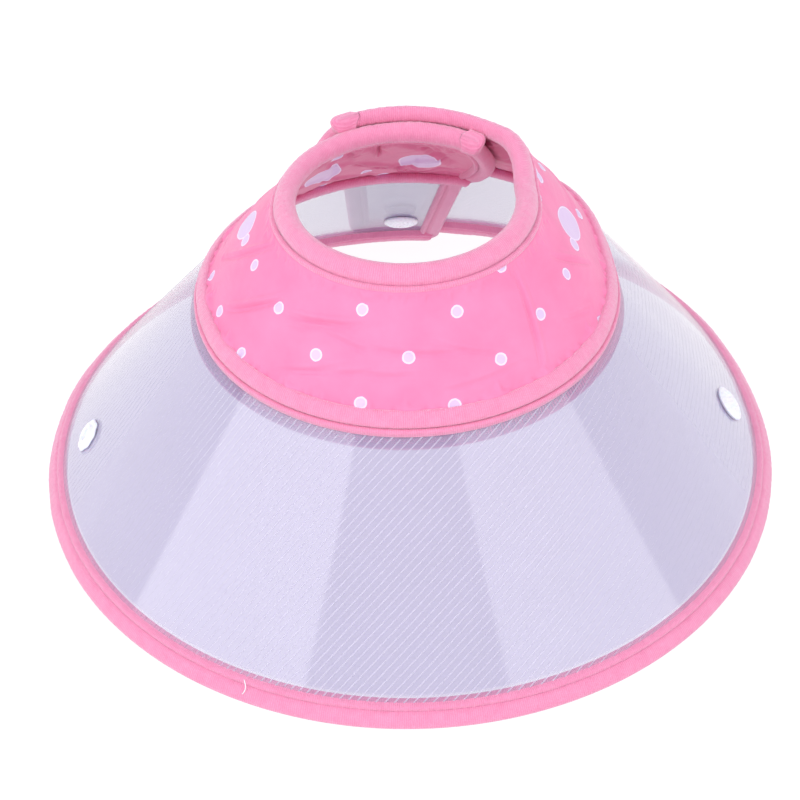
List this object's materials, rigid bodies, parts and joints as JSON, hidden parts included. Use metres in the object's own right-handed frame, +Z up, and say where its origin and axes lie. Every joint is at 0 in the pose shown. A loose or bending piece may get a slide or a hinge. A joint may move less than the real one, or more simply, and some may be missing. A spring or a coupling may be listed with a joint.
{
  "type": "elizabethan collar",
  "caption": "Wrap-around veterinary cone for a small pet: clear ribbed sheet, padded dotted neck collar, fleece-bound edges, back overlap closed by a press snap and hook-and-loop.",
  "frame": {"origin": "centre of the cone's wide rim, at the height of the surface the rim rests on", "axes": "+Z up the cone's axis from the wide rim to the neck; -Y the front, where the sheet is a single layer; +Y the back, where its ends overlap; +X the side whose wing lies outermost at the back"},
  "size_m": [0.27, 0.2728, 0.1242],
  "materials": {
    "clear_sheet": "translucent lilac-white film with fine moulded ribs",
    "fleece_tape": "soft brushed knit binding tape",
    "dotted_cover": "smooth satin-like padded fabric with small pale dots",
    "dotted_lining": "thin woven lining with small pale dots, lightly creased",
    "wadding": "white polyester wadding",
    "hook_and_loop": "pink hook-and-loop strip",
    "snap_plastic": "white moulded plastic"
  },
  "bodies": {
    "front": {"sheet_front": "clear_sheet", "rim_binding_front": "fleece_tape", "neck_binding_front": "fleece_tape", "collar_cover_front": "dotted_cover", "collar_wadding_front": "wadding", "collar_lining_front": "dotted_lining", "cover_hem_binding_front": "fleece_tape", "lining_hem_binding_front": "fleece_tape"},
    "outer_wing": {"sheet_outer_wing": "clear_sheet", "rim_binding_outer_wing": "fleece_tape", "neck_binding_outer_wing": "fleece_tape", "collar_cover_outer_wing": "dotted_cover", "collar_wadding_outer_wing": "wadding", "collar_lining_outer_wing": "dotted_lining", "cover_hem_binding_outer_wing": "fleece_tape", "lining_hem_binding_outer_wing": "fleece_tape", "end_binding_outer_wing": "fleece_tape", "hook_strip": "hook_and_loop", "snap_right_cap": "snap_plastic", "snap_right_stud": "snap_plastic", "snap_back_outer_cap": "snap_plastic", "snap_back_stud": "snap_plastic"},
    "inner_wing": {"sheet_inner_wing": "clear_sheet", "rim_binding_inner_wing": "fleece_tape", "neck_binding_inner_wing": "fleece_tape", "collar_cover_inner_wing": "dotted_cover", "collar_wadding_inner_wing": "wadding", "collar_lining_inner_wing": "dotted_lining", "cover_hem_binding_inner_wing": "fleece_tape", "lining_hem_binding_inner_wing": "fleece_tape", "end_binding_inner_wing": "fleece_tape", "loop_strip": "hook_and_loop", "snap_left_cap": "snap_plastic", "snap_left_socket": "snap_plastic", "snap_back_inner_cap": "snap_plastic", "snap_back_socket": "snap_plastic"}
  },
  "joints": [
    {"name": "outer_wrap_open", "type": "hinge", "parent": "front", "child": "outer_wing", "pos_m": [0.04204, -0.01366, 0.11888], "axis": [0.5968, -0.1939, -0.7786], "range_deg": [0, 70]},
    {"name": "inner_wrap_open", "type": "hinge", "parent": "front", "child": "inner_wing", "pos_m": [-0.04204, -0.01366, 0.11888], "axis": [0.5968, 0.1939, 0.7786], "range_deg": [0, 35]}
  ],
  "couplings": [
    {"joint": "inner_wrap_open", "follows": "outer_wrap_open", "ratio": 0.5}
  ]
}
